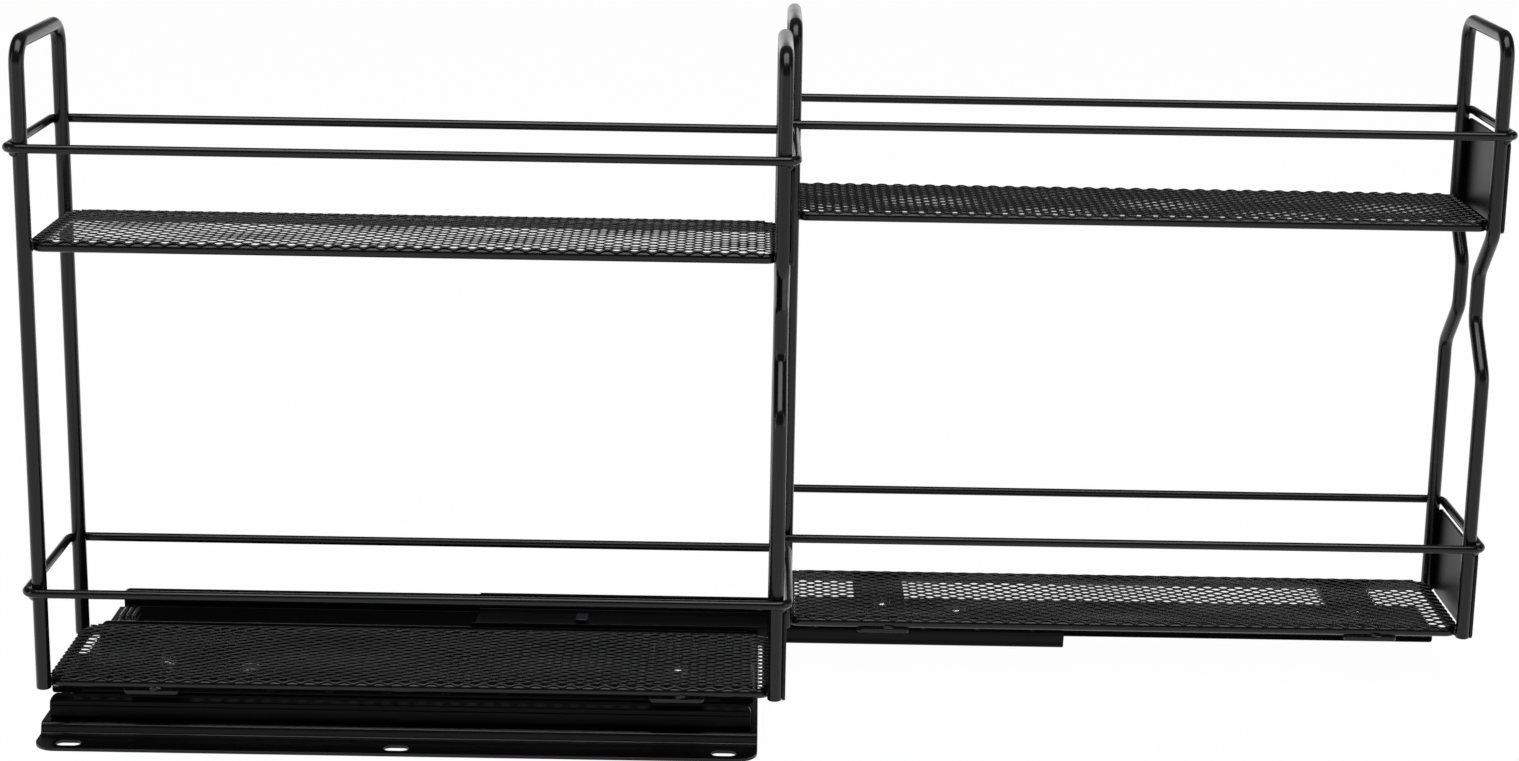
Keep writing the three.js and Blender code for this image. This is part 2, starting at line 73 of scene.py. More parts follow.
# an empty material, and the object coordinates that its patterns lie on
def startMaterial(name):
    material = bpy.data.materials.new(name)
    material.use_nodes = True
    tree = material.node_tree
    tree.nodes.clear()
    return material, tree, addNode(tree, "ShaderNodeTexCoord").outputs["Object"]


# noise with grains of about so many millimetres
def addNoise(tree, place, grain, detail):
    noise = addNode(tree, "ShaderNodeTexNoise", {"Scale": 1 / (grain * mm), "Detail": detail}, {"Vector": place})
    return noise.outputs["Fac"]


# the end that all finishes share: a pattern mixes two shades and, over its spread, two roughnesses
def closeMaterial(tree, look, pattern, height, shading):
    tint = addNode(tree, "ShaderNodeMix",
                   {"data_type": "RGBA", 6: linear(look["dark"]), 7: linear(look["light"])}, {0: pattern})
    bump = addNode(tree, "ShaderNodeBump", {"Strength": look["bump"], "Distance": look["relief"] * mm},
                   {"Height": height})
    links = {"Base Color": tint.outputs[2], "Normal": bump.outputs[0]}
    if "spread" in look:
        gloss = addNode(tree, "ShaderNodeMapRange",
                        {"From Min": look["spread"][0], "From Max": look["spread"][1],
                         "To Min": look["gloss"][0], "To Max": look["gloss"][1]}, {"Value": pattern})
        links["Roughness"] = gloss.outputs[0]
    shader = addNode(tree, "ShaderNodeBsdfPrincipled", shading, links)
    addNode(tree, "ShaderNodeOutputMaterial", links={"Surface": shader.outputs[0]})


# polyester powder coat, sprayed and baked: a shallow orange peel breaks up a semi-gloss black
powder = dict(cloudDetail=3.0, peelDetail=1.0, gritDetail=2.0, gritShare=0.3, spread=(0.35, 0.65),
              relief=0.03, refraction=1.5)
rodCoat = dict(dark="#070708", light="#0b0b0c", gloss=(0.16, 0.24), specular=0.33,
               cloud=28, peel=1.1, grit=0.35, bump=0.25)
plateCoat = dict(dark="#040405", light="#070708", gloss=(0.19, 0.27), specular=0.3,
                 cloud=35, peel=1.3, grit=0.4, bump=0.3)
panelCoat = dict(dark="#070708", light="#0b0b0c", gloss=(0.36, 0.46), specular=0.25,
                 cloud=30, peel=1.3, grit=0.4, bump=0.3)
meshCoat = dict(dark="#08080a", light="#0d0d0f", gloss=(0.2, 0.28), specular=0.5,
                cloud=28, peel=1.1, grit=0.35, bump=0.2)


def makePowderCoat(name, coat):
    material, tree, place = startMaterial(name)
    look = powder | coat
    cloud = addNoise(tree, place, look["cloud"], look["cloudDetail"])
    peel = addNoise(tree, place, look["peel"], look["peelDetail"])
    grit = addNoise(tree, place, look["grit"], look["gritDetail"])
    skin = addNode(tree, "ShaderNodeMath", {"operation": "MULTIPLY_ADD", 1: look["gritShare"]}, {0: grit, 2: peel})
    closeMaterial(tree, look, cloud, skin.outputs[0],
                  {"IOR": look["refraction"], "Specular IOR Level": look["specular"]})
    return material


# black electro-coat on cold-rolled strip: thin and smooth, so the rolling lines along the slide still show
rolled = dict(dark="#060607", light="#0d0d0f", gloss=(0.18, 0.28), spread=(0.3, 0.7), specular=0.08,
              line=0.6, run=40, detail=3.0, bump=0.2, relief=0.02, refraction=1.5)


def makeRolledSteel():
    material, tree, place = startMaterial("blackElectroCoat")
    along, across = 1 / (rolled["run"] * mm), 1 / (rolled["line"] * mm)
    stretch = addNode(tree, "ShaderNodeMapping", {"Scale": (along, across, across)}, {"Vector": place})
    lines = addNode(tree, "ShaderNodeTexNoise", {"Scale": 1.0, "Detail": rolled["detail"]},
                    {"Vector": stretch.outputs[0]}).outputs["Fac"]
    closeMaterial(tree, rolled, lines, lines,
                  {"IOR": rolled["refraction"], "Specular IOR Level": rolled["specular"]})
    return material


# bare and plated metal: strip and balls keep a faint burnish, fasteners a mottled bright plating
burnish = dict(detail=4.0, spread=(0.3, 0.7), bump=0.15, relief=0.02)
strip = dict(dark="#26262a", light="#4a4a50", gloss=(0.28, 0.40), grain=2.0)
plating = dict(dark="#b0b0b4", light="#dcdce0", gloss=(0.18, 0.28), grain=1.2)


def makeMetal(name, metal):
    material, tree, place = startMaterial(name)
    look = burnish | metal
    mottle = addNoise(tree, place, look["grain"], look["detail"])
    closeMaterial(tree, look, mottle, mottle, {"Metallic": 1.0})
    return material


# glass-filled nylon, injection moulded: dark, with a fine spark-eroded grain and a waxy glint on its edges
nylon = dict(dark="#0e0e10", light="#161618", gloss=0.22, specular=0.5, grain=0.5, detail=2.0,
             bump=0.3, relief=0.03, refraction=1.53)


def makeNylon():
    material, tree, place = startMaterial("darkMouldedNylon")
    grain = addNoise(tree, place, nylon["grain"], nylon["detail"])
    closeMaterial(tree, nylon, grain, grain, {"IOR": nylon["refraction"], "Roughness": nylon["gloss"],
                                              "Specular IOR Level": nylon["specular"]})
    return material


finishes = dict(powder_coat=makePowderCoat("semiGlossPowderCoat", rodCoat), slide_paint=makeRolledSteel(),
                cage_steel=makeMetal("springSteelStrip", strip), screw_steel=makeMetal("brightZincPlate", plating),
                bumper_plastic=makeNylon())
satinCoat = makePowderCoat("satinPowderCoat", plateCoat)
mattCoat = makePowderCoat("mattPowderCoat", panelCoat)
strandCoat = makePowderCoat("strandPowderCoat", meshCoat)
print("materials made")


def vertsOf(geom):
    return [g for g in geom if isinstance(g, bmesh.types.BMVert)]


def edgesOf(geom):
    return [g for g in geom if isinstance(g, bmesh.types.BMEdge)]


def middleOf(node):
    low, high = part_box(node)
    return (low + high) / 2


def moved(bm, place):
    bmesh.ops.translate(bm, vec=place, verts=bm.verts[:])
    return bm


def quarterTurned(bm, axis):
    quarter = Matrix.Rotation(math.radians(90), 3, axis)
    bmesh.ops.rotate(bm, cent=(0, 0, 0), matrix=quarter, verts=bm.verts[:])
    return bm


def newObject(bm, name):
    mesh = bpy.data.meshes.new(name)
    bm.to_mesh(mesh)
    bm.free()
    mesh.shade_smooth()
    thing = bpy.data.objects.new(name, mesh)
    bpy.context.scene.collection.objects.link(thing)
    return thing


# a bmesh becomes a piece: doubles merged, thickness, cuts and edge rounding applied, then finish and body
finishing = dict(mergeWithin=0.002 * mm, roundSteps=2, roundFrom=math.radians(50), crease=40)


def finishPiece(bm, name, body, slot, replaced=(), thickness=0, cutters=(), rounding=0, material=None,
                crease=finishing["crease"]):
    bmesh.ops.remove_doubles(bm, verts=bm.verts[:], dist=finishing["mergeWithin"])
    bmesh.ops.recalc_face_normals(bm, faces=bm.faces[:])
    piece = newObject(bm, name)
    tools = []
    if thickness:
        wall = piece.modifiers.new("wall", "SOLIDIFY")
        wall.thickness, wall.offset, wall.use_even_offset = thickness, 0, True
    for operation, cutter in cutters:
        bmesh.ops.recalc_face_normals(cutter, faces=cutter.faces[:])
        tools.append(newObject(cutter, "cutter"))
        cut = piece.modifiers.new("cut", "BOOLEAN")
        cut.operation, cut.solver, cut.object = operation, "EXACT", tools[-1]
    if rounding:
        edge = piece.modifiers.new("edge", "BEVEL")
        edge.width, edge.segments = rounding, finishing["roundSteps"]
        edge.limit_method, edge.angle_limit = "ANGLE", finishing["roundFrom"]
        edge.use_clamp_overlap = False
        piece.modifiers.new("flats", "WEIGHTED_NORMAL")
    if piece.modifiers:
        seen = piece.evaluated_get(bpy.context.evaluated_depsgraph_get())
        flat = piece.data
        piece.data = bpy.data.meshes.new_from_object(seen)
        piece.modifiers.clear()
        bpy.data.meshes.remove(flat)
        piece.data.name = name
    else:
        piece.data.set_sharp_from_angle(angle=math.radians(crease))
    for tool in tools:
        bpy.data.meshes.remove(tool.data)
    piece.data.materials.clear()
    piece.data.materials.append(material or finishes[slot])
    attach(piece, body)
    if replaced:
        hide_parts(*replaced)
    return piece


# whatever is handed in is drawn along the straights and spun round the bends between corners (point, radius)
def follow(bm, geom, corners, bendStep=9):
    here = corners[0][0]
    for index in range(1, len(corners)):
        corner, radius = corners[index]
        arriving = (corner - corners[index - 1][0]).normalized()
        leaving = (corners[index + 1][0] - corner).normalized() if index < len(corners) - 1 else arriving
        turn = arriving.angle(leaving) if radius else 0
        bendStart = corner - arriving * (radius * math.tan(turn / 2))
        geom = bmesh.ops.spin(bm, geom=geom, cent=here, axis=(0, 0, 1), dvec=bendStart - here, angle=0,
                              steps=1)["geom_last"]
        here = bendStart
        if turn:
            inward = (leaving - arriving * arriving.dot(leaving)).normalized()
            geom = bmesh.ops.spin(bm, geom=geom, cent=bendStart + inward * radius, axis=arriving.cross(leaving),
                                  angle=turn, steps=math.ceil(math.degrees(turn) / bendStep))["geom_last"]
            here = corner + leaving * (radius * math.tan(turn / 2))
    return geom


# round wire: a circle follows the path, and open ends are closed and rounded
wireShape = dict(sides=20, endRound=0.5 * mm, endSteps=3)


def bendWire(bm, corners, diameter, closed=False):
    turn = (corners[1][0] - corners[0][0]).to_track_quat("Z", "Y").to_matrix().to_4x4()
    ring = bmesh.ops.create_circle(bm, segments=wireShape["sides"], radius=diameter / 2,
                                   matrix=Matrix.Translation(corners[0][0]) @ turn)["verts"]
    firstLoop = list({e for v in ring for e in v.link_edges})
    lastLoop = edgesOf(follow(bm, ring + firstLoop, corners))
    if not closed:
        for loop in (firstLoop, lastLoop):
            cap = bmesh.ops.contextual_create(bm, geom=loop)["faces"]
            bmesh.ops.bevel(bm, geom=[e for f in cap for e in f.edges], offset=wireShape["endRound"],
                            segments=wireShape["endSteps"], profile=0.5, affect="EDGES", material=-1)


# bent strip: half its section follows the bends, is mirrored, and is drawn along X
def bendStrip(halfSection, startX, endX):
    bm = bmesh.new()
    corners = [(Vector((startX, u * mm, w * mm)), r * mm) for u, w, r in halfSection]
    first = bmesh.ops.create_vert(bm, co=corners[0][0])["vert"]
    follow(bm, first, corners)
    bmesh.ops.mirror(bm, geom=bm.verts[:] + bm.edges[:], axis="Y", merge_dist=finishing["mergeWithin"] / 2)
    bmesh.ops.remove_doubles(bm, verts=bm.verts[:], dist=finishing["mergeWithin"])
    drawn = bmesh.ops.extrude_edge_only(bm, edges=bm.edges[:])["geom"]
    bmesh.ops.translate(bm, vec=(endX - startX, 0, 0), verts=vertsOf(drawn))
    return bm


# flat blank with rounded corners, as a surface or drawn up to a block
def roundBlank(width, depth, radius, height=0, cornerSteps=8):
    bm = bmesh.new()
    corners = bmesh.ops.create_grid(bm, x_segments=1, y_segments=1, size=0.5,
                                    matrix=Matrix.Diagonal((width, depth, 1, 1)))["verts"]
    bmesh.ops.bevel(bm, geom=corners, offset=radius, segments=cornerSteps, profile=0.5, affect="VERTICES",
                    material=-1)
    if height:
        raised = bmesh.ops.extrude_face_region(bm, geom=bm.faces[:])["geom"]
        bmesh.ops.translate(bm, vec=(0, 0, height), verts=vertsOf(raised))
    return bm


# a block whose top edge is rounded over
def softBlock(width, depth, radius, height, topRound, topSteps=3):
    bm = roundBlank(width, depth, radius, height)
    top = [e for e in bm.edges if min(v.co.z for v in e.verts) > height / 2]
    bmesh.ops.bevel(bm, geom=top, offset=topRound, segments=topSteps, profile=0.5, affect="EDGES", material=-1)
    return bm


# turned piece: a half profile (radius, height) in mm spun about Z
def turned(profile, place, steps=32):
    bm = bmesh.new()
    chain = [bm.verts.new((r * mm, 0, h * mm)) for r, h in profile]
    edges = [bm.edges.new(pair) for pair in zip(chain, chain[1:])]
    bmesh.ops.spin(bm, geom=chain + edges, cent=(0, 0, 0), axis=(0, 0, 1), angle=2 * math.pi, steps=steps,
                   use_merge=True)
    return moved(bm, place)


# base plate: deck raised on two leaning risers, a flange with rounded corners and three slots along each side
base = dict(sheet=1.2 * mm, flangeHeight=0.6, deckHeight=4.4, deckHalf=66, riserFoot=67, bend=1.6, edge=0.15 * mm,
            cornerRadius=8 * mm, cornerSteps=10, cornerWithin=0.01 * mm,
            slotLength=9 * mm, slotWidth=5.2 * mm, slotEnd=0.499, slotFromEdge=5.6 * mm, slotFromEnd=12 * mm,
            cutDepth=10 * mm)


def makeBase():
    low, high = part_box("base_plate")
    middle = (low + high) / 2
    edge = (high.y - low.y) / 2 / mm
    section = [(0, base["deckHeight"], 0), (base["deckHalf"], base["deckHeight"], base["bend"]),
               (base["riserFoot"], base["flangeHeight"], base["bend"]), (edge, base["flangeHeight"], 0)]
    bm = bendStrip(section, low.x, high.x)
    outer = [v for v in bm.verts if abs(abs(v.co.y) - edge * mm) < base["cornerWithin"]]
    bmesh.ops.bevel(bm, geom=outer, offset=base["cornerRadius"], segments=base["cornerSteps"], profile=0.5,
                    affect="VERTICES", material=-1)
    moved(bm, (0, middle.y, 0))
    cutters = []
    for y in (low.y + base["slotFromEdge"], high.y - base["slotFromEdge"]):
        for x in (low.x + base["slotFromEnd"], middle.x, high.x - base["slotFromEnd"]):
            slot = roundBlank(base["slotLength"], base["slotWidth"], base["slotWidth"] * base["slotEnd"],
                              base["cutDepth"])
            cutters.append(("DIFFERENCE", moved(slot, (x, y, -base["cutDepth"] / 2))))
    finishPiece(bm, "base_plate_sheet", "base", "powder_coat", ["base_plate"], base["sheet"], cutters, base["edge"],
                satinCoat)


# slide members: half sections (across, up, bend radius) in mm from the slide's middle and the deck
slideShape = dict(
    sheet=1.2 * mm, edge=0.12 * mm, cutDepth=100 * mm, endRadius=dict(outer=3 * mm, middle=2.5 * mm, inner=1.5 * mm),
    outer=[(0, 0.6, 0), (21.9, 0.6, 1), (21.9, 4.75, 0.8), (21.58, 5.2, 0.8), (21.58, 6.6, 0.8), (20.35, 8.05, 0.8),
           (20.08, 9.1, 0)],
    middle=[(0, 3.8, 0), (17.15, 3.8, 0.9), (16.7, 5.6, 1.6), (18.35, 9.25, 1.6), (17.97, 10.05, 0)],
    inner=[(0, 12.1, 0), (14.05, 12.1, 0.8), (12.6, 9.25, 2.5), (14.05, 7.0, 0)])
# cage stop: a tab lanced up from the middle member
stopTab = dict(length=5 * mm, width=8 * mm, height=3.4 * mm, corner=0.9 * mm, edge=0.35 * mm, fromEnd=42 * mm,
               foot=3.8 * mm)


# a member's ends are cut to a side view with rounded corners, which reaches down past all but the inner member
def makeSlide(lane):
    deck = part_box(lane + "_slide_outer")[0].z
    for member, body in (("outer", "base"), ("middle", lane + "_middle"), ("inner", lane + "_rack")):
        node = f"{lane}_slide_{member}"
        low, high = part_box(node)
        middle = (low + high) / 2
        bm = bendStrip(slideShape[member], low.x, high.x)
        reach = (high.z - low.z) * (1 if member == "inner" else 2)
        sideView = roundBlank(high.x - low.x, reach, slideShape["endRadius"][member], slideShape["cutDepth"])
        moved(quarterTurned(sideView, "X"), (middle.x, middle.y + slideShape["cutDepth"] / 2, high.z - reach / 2))
        finishPiece(moved(bm, (0, middle.y, deck)), node + "_strip", body, "slide_paint", [node],
                    slideShape["sheet"], [("INTERSECT", sideView)], slideShape["edge"])
    low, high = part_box(lane + "_slide_middle")
    tab = roundBlank(stopTab["length"], stopTab["width"], stopTab["corner"], stopTab["height"])
    moved(tab, (low.x + stopTab["fromEnd"], (low.y + high.y) / 2, deck + stopTab["foot"]))
    finishPiece(tab, lane + "_cage_stop_tab", lane + "_middle", "slide_paint", rounding=stopTab["edge"],
                material=finishes["cage_steel"])


# ball cages: a strip bent up at both sides, a row of balls in each wall
cage = dict(sheet=0.6 * mm, edge=0.1 * mm, bend=0.8, webInset=1.7,
            ball=3.2 * mm, ballSides=16, ballRings=10, balls=5, fromEnd=8 * mm,
            outer=dict(web=2.55, across=19.35, height=5.7), inner=dict(web=5.05, across=15.65, height=9.25))


def makeCages(lane):
    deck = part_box(lane + "_slide_outer")[0].z
    for row in ("outer", "inner"):
        node = f"{lane}_{row}_ball_cage"
        low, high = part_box(node)
        middleY = (low.y + high.y) / 2
        size = cage[row]
        section = [(0, size["web"], 0), (size["across"] - cage["webInset"], size["web"], cage["bend"]),
                   (size["across"], size["web"] + cage["webInset"], cage["bend"]),
                   (size["across"], (high.z - deck) / mm, 0)]
        bm = bendStrip(section, low.x, high.x)
        finishPiece(moved(bm, (0, middleY, deck)), node + "_strip", f"{lane}_{row}_cage", "cage_steel", [node],
                    cage["sheet"], (), cage["edge"])
        balls = bmesh.new()
        pitch = (high.x - low.x - 2 * cage["fromEnd"]) / (cage["balls"] - 1)
        for index in range(cage["balls"]):
            for side in (-1, 1):
                place = (low.x + cage["fromEnd"] + index * pitch, middleY + side * size["across"] * mm,
                         deck + size["height"] * mm)
                bmesh.ops.create_uvsphere(balls, u_segments=cage["ballSides"], v_segments=cage["ballRings"],
                                          radius=cage["ball"] / 2, matrix=Matrix.Translation(place))
        finishPiece(balls, node + "_balls", f"{lane}_{row}_cage", "cage_steel")


# rear bumper: a moulded foot set in from the channel's end, with three rounded fingers that take the knock
bumper = dict(length=7.6 * mm, width=12 * mm, corner=2 * mm, footHeight=3.2 * mm, footEdge=0.6 * mm,
              fingers=3, fingerPitch=2.3 * mm, fingerWidth=1.8 * mm, fingerReach=11 * mm, fingerEnd=0.49,
              fingerEdge=0.75 * mm)


def makeBumper(lane):
    node = lane + "_rear_bumper"
    low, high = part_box(node)
    place = Vector((high.x - bumper["length"] / 2, (low.y + high.y) / 2, low.z))
    foot = softBlock(bumper["length"], bumper["width"], bumper["corner"], bumper["footHeight"], bumper["footEdge"])
    fingers = []
    for index in range(bumper["fingers"]):
        finger = softBlock(bumper["fingerWidth"], bumper["fingerReach"], bumper["fingerWidth"] * bumper["fingerEnd"],
                           high.z - low.z, bumper["fingerEdge"])
        shift = (index - (bumper["fingers"] - 1) / 2) * bumper["fingerPitch"]
        fingers.append(("UNION", moved(finger, place + Vector((shift, 0, 0)))))
    finishPiece(moved(foot, place), node + "_block", "base", "bumper_plastic", [node], 0, fingers)


# fasteners: pan-head screws with a cross recess, and domed rivets with an upset tail
# a screw's dome is (in from the rim, up from the seat) in mm, and a rivet's the same with the height as a share
screw = dict(shank=2.0, point=1.6, pointHeight=0.4, head=4.0, height=1.8, edge=0.08 * mm,
             dome=[(0, 0), (0, 0.6), (0.35, 1.15), (1.1, 1.6), (2.2, 1.8)],
             recess=(4.4 * mm, 0.9 * mm, 2.2 * mm), recessTurn=0.35)
rivet = dict(shank=2.0, tail=2.9, tailHeight=1.2, tailEdge=0.5, head=3.75,
             dome=[(0, 0), (0.15, 0.4), (0.8, 0.8), (1.9, 1)],
             height=dict(rear_base_rivet=0.7, front_base_rivet=0.7, stop_rivet=0.9))


def makeFasteners(lane):
    for end in ends:
        node = f"{lane}_{end}_shelf_screw"
        low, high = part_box(node)
        middle = (low + high) / 2
        seat = (high.z - low.z) / mm - screw["height"]
        profile = [(0, 0), (screw["point"], 0), (screw["shank"], screw["pointHeight"]), (screw["shank"], seat)]
        profile += [(screw["head"] - inset, seat + up) for inset, up in screw["dome"]]
        profile += [(0, seat + screw["height"])]
        cutters = []
        for turn in (screw["recessTurn"], screw["recessTurn"] + math.pi / 2):
            bit = bmesh.new()
            place = Matrix.Translation((middle.x, middle.y, high.z)) @ Matrix.Rotation(turn, 4, "Z")
            bmesh.ops.create_cube(bit, size=1, matrix=place @ Matrix.Diagonal((*screw["recess"], 1)))
            cutters.append(("DIFFERENCE", bit))
        finishPiece(turned(profile, (middle.x, middle.y, low.z)), node + "_pan", lane + "_rack", "screw_steel",
                    [node], 0, cutters, screw["edge"])
    for name, height in rivet["height"].items():
        node = f"{lane}_{name}"
        body = lane + "_rack" if name == "stop_rivet" else "base"
        low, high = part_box(node)
        middle = (low + high) / 2
        seat = (high.z - low.z) / mm - height
        profile = [(0, 0), (rivet["tail"] - rivet["tailEdge"], 0), (rivet["tail"], rivet["tailEdge"]),
                   (rivet["tail"], rivet["tailHeight"]), (rivet["shank"], rivet["tailHeight"]),
                   (rivet["shank"], seat)]
        profile += [(rivet["head"] - inset, seat + height * share) for inset, share in rivet["dome"]]
        profile += [(0, seat + height)]
        finishPiece(turned(profile, (middle.x, middle.y, low.z)), node + "_head", body, "screw_steel", [node])


# hoops: round rod bent into two posts and a top, the pull end pinched to a waist for the grip
hoop = dict(rod=5 * mm, coat=0.12 * mm, topBend=8 * mm, pinchDepth=17 * mm, pinchSlope=18 * mm,
            pinchStraight=18 * mm, pinchBelowRim=2.8 * mm, pinchBend=9 * mm)


def makeHoops(lane):
    high = middleOf(lane + "_upper_rim").z - hoop["pinchBelowRim"]
    waist = [(0, high), (hoop["pinchDepth"], high - hoop["pinchSlope"]),
             (hoop["pinchDepth"], high - hoop["pinchSlope"] - hoop["pinchStraight"]),
             (0, high - 2 * hoop["pinchSlope"] - hoop["pinchStraight"])]
    for end in ends:
        node = f"{lane}_{end}_hoop"
        low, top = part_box(node)
        near, far = low.y + hoop["rod"] / 2, top.y - hoop["rod"] / 2
        x = (low.x + top.x) / 2
        pinch = waist if end == "front" else []
        corners = [(Vector((x, near, low.z)), 0)]
        corners += [(Vector((x, near + inset, z)), hoop["pinchBend"]) for inset, z in pinch[::-1]]
        corners += [(Vector((x, y, top.z - hoop["rod"] / 2)), hoop["topBend"]) for y in (near, far)]
        corners += [(Vector((x, far - inset, z)), hoop["pinchBend"]) for inset, z in pinch]
        corners += [(Vector((x, far, low.z)), 0)]
        bm = bmesh.new()
        bendWire(bm, corners, hoop["rod"] + 2 * hoop["coat"])
        finishPiece(bm, node + "_rod", lane + "_rack", "powder_coat", [node])


# rails and rims: closed rings of wire, butt-welded in the middle of a long side
ringWire = dict(rail=dict(wire=3 * mm, coat=0.12 * mm, corner=4.3 * mm),
                rim=dict(wire=3.6 * mm, coat=0, corner=3.5 * mm))


def makeRings(lane):
    for tier in tiers:
        for kind, size in ringWire.items():
            node = f"{lane}_{tier}_{kind}"
            low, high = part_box(node)
            z = (low.z + high.z) / 2
            left, right = low.x + size["wire"] / 2, high.x - size["wire"] / 2
            near, far = low.y + size["wire"] / 2, high.y - size["wire"] / 2
            start = (Vector(((left + right) / 2, far, z)), 0)
            square = [(left, far), (left, near), (right, near), (right, far)]
            bm = bmesh.new()
            bendWire(bm, [start] + [(Vector((x, y, z)), size["corner"]) for x, y in square] + [start],
                     size["wire"] + 2 * size["coat"], closed=True)
            finishPiece(bm, node + "_wire", lane + "_rack", "powder_coat", [node])


# shelves: expanded metal, slit strands pulled into diamonds, the edges dressed down over the rim
# each shelf has its own diamond height in mm, lean of the strands in degrees and phase of its slight waviness
shelf = dict(longWay=6.2 * mm, shortWay=dict(near_lower=4.1, near_upper=4.6, far_lower=4.7, far_upper=5.1),
             lean=dict(near_lower=9, near_upper=10, far_lower=-5, far_upper=-19),
             strand=1.0 * mm, sheet=0.4 * mm, edge=0.15 * mm, bond=1.2 * mm, cutSides=24, crease=75,
             dress=50, lift=0.35 * mm, swell=0.5, swellReach=1.5 * mm,
             wave=0.3 * mm, waveX=88 * mm, waveY=40 * mm, waveFade=8 * mm,
             phase=dict(near_lower=0.6, near_upper=2.4, far_lower=1.5, far_upper=4.0))


# one zigzag strand from its start: a flat chamfered section drawn through the bonds and slopes of each diamond
def drawStrand(bm, start, lean, swing, periods):
    slope = (shelf["longWay"] - 2 * shelf["bond"]) / 4
    steps = [(shelf["bond"], 0), (slope, -swing), (slope, -swing), (shelf["bond"], 0), (slope, swing), (slope, swing)]
    turn = Matrix.Rotation(math.radians(-lean), 4, "X") @ Matrix.Rotation(math.radians(90), 4, "Y")
    squash = Matrix.Diagonal((shelf["sheet"], shelf["strand"], 1, 1))
    section = bmesh.ops.create_grid(bm, x_segments=1, y_segments=1, size=0.5,
                                    matrix=Matrix.Translation(start) @ turn @ squash)["verts"]
    bmesh.ops.bevel(bm, geom=section, offset=shelf["edge"], segments=1, profile=0.5, affect="VERTICES", material=-1)
    bmesh.ops.delete(bm, geom=bm.faces[:], context="FACES_ONLY")
    geom = bm.verts[:] + bm.edges[:]
    for dx, dy in steps * periods:
        geom = bmesh.ops.spin(bm, geom=geom, cent=start, axis=(0, 0, 1), dvec=(dx, dy, 0), angle=0,
                              steps=1)["geom_last"]
    return bm.verts[:] + bm.edges[:] + bm.faces[:]


# the flat net is thickened at its edges, waved in its middle and bent over the rim beyond the half sizes
def dressShelf(bm, halfX, halfY, bendRadius, phase):
    for vert in bm.verts:
        edge = max(abs(vert.co.x) - halfX, abs(vert.co.y) - halfY)
        flat = min(1, max(0, -edge / shelf["waveFade"]))
        wave = (math.sin(2 * math.pi * vert.co.x / shelf["waveX"] + phase)
                * math.sin(2 * math.pi * vert.co.y / shelf["waveY"] + phase))
        vert.co.z *= 1 + shelf["swell"] * min(1, max(0, 1 + edge / shelf["swellReach"]))
        vert.co.z += shelf["wave"] * flat * wave
        for axis, half in ((0, halfX), (1, halfY)):
            over = abs(vert.co[axis]) - half
            if over > 0:
                reach = bendRadius + vert.co.z
                vert.co[axis] = math.copysign(half + reach * math.sin(over / bendRadius), vert.co[axis])
                vert.co.z = reach * math.cos(over / bendRadius) - bendRadius


# strands go over the rim's straights, and those that meet its corner bends end on the wire
def makeShelf(lane, tier):
    name = f"{lane}_{tier}"
    rimLow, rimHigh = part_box(name + "_rim")
    rimRadius, corner = ringWire["rim"]["wire"] / 2, ringWire["rim"]["corner"]
    halfX = (rimHigh.x - rimLow.x) / 2 - rimRadius
    halfY = (rimHigh.y - rimLow.y) / 2 - rimRadius
    bendRadius = rimRadius + shelf["lift"]
    dress = bendRadius * math.radians(shelf["dress"])
    blankX, blankY = halfX + dress, halfY + dress
    rows = round(4 * blankY / (shelf["shortWay"][name] * mm))
    rowPitch = (2 * blankY - shelf["strand"]) / (rows + 0.5)
    swing = (rowPitch - shelf["strand"]) / 2
    bm = bmesh.new()
    start = Vector((-blankX - shelf["longWay"], -blankY + shelf["strand"] / 2 + 2 * swing, 0))
    periods = math.ceil(2 * blankX / shelf["longWay"]) + 2
    strands = [drawStrand(bm, start, shelf["lean"][name], swing, periods)]
    for row in range(1, rows + 1):
        strands.append(bmesh.ops.duplicate(bm, geom=strands[0])["geom"])
        bmesh.ops.translate(bm, vec=((row % 2) * shelf["longWay"] / 2, row * rowPitch, 0),
                            verts=vertsOf(strands[row]))
    for row, geom in enumerate(strands):
        past = abs(start.y - swing + row * rowPitch) - halfY + corner
        endX = blankX if past < 0 else halfX - corner + math.sqrt(max(0, corner ** 2 - past ** 2))
        for side in (-1, 1):
            geom = bmesh.ops.bisect_plane(bm, geom=geom, plane_co=(side * endX, 0, 0), plane_no=(side, 0, 0),
                                          clear_outer=True)["geom"]
    bmesh.ops.holes_fill(bm, edges=[e for e in bm.edges if e.is_boundary], sides=shelf["cutSides"])
    dressShelf(bm, halfX, halfY, bendRadius, shelf["phase"][name])
    moved(bm, (rimLow + rimHigh) / 2 + Vector((0, 0, bendRadius)))
    node = name + "_mesh"
    finishPiece(bm, node + "_expanded", lane + "_rack", "powder_coat", [node], material=strandCoat,
                crease=shelf["crease"])


# end plates and crossbars: flat sheet with broken edges
flats = dict(plateCorner=2 * mm, plateInset=1.8 * mm, plateRise=2.3 * mm, plateSeat=0.16 * mm, barCorner=2 * mm,
             edge=0.25 * mm)


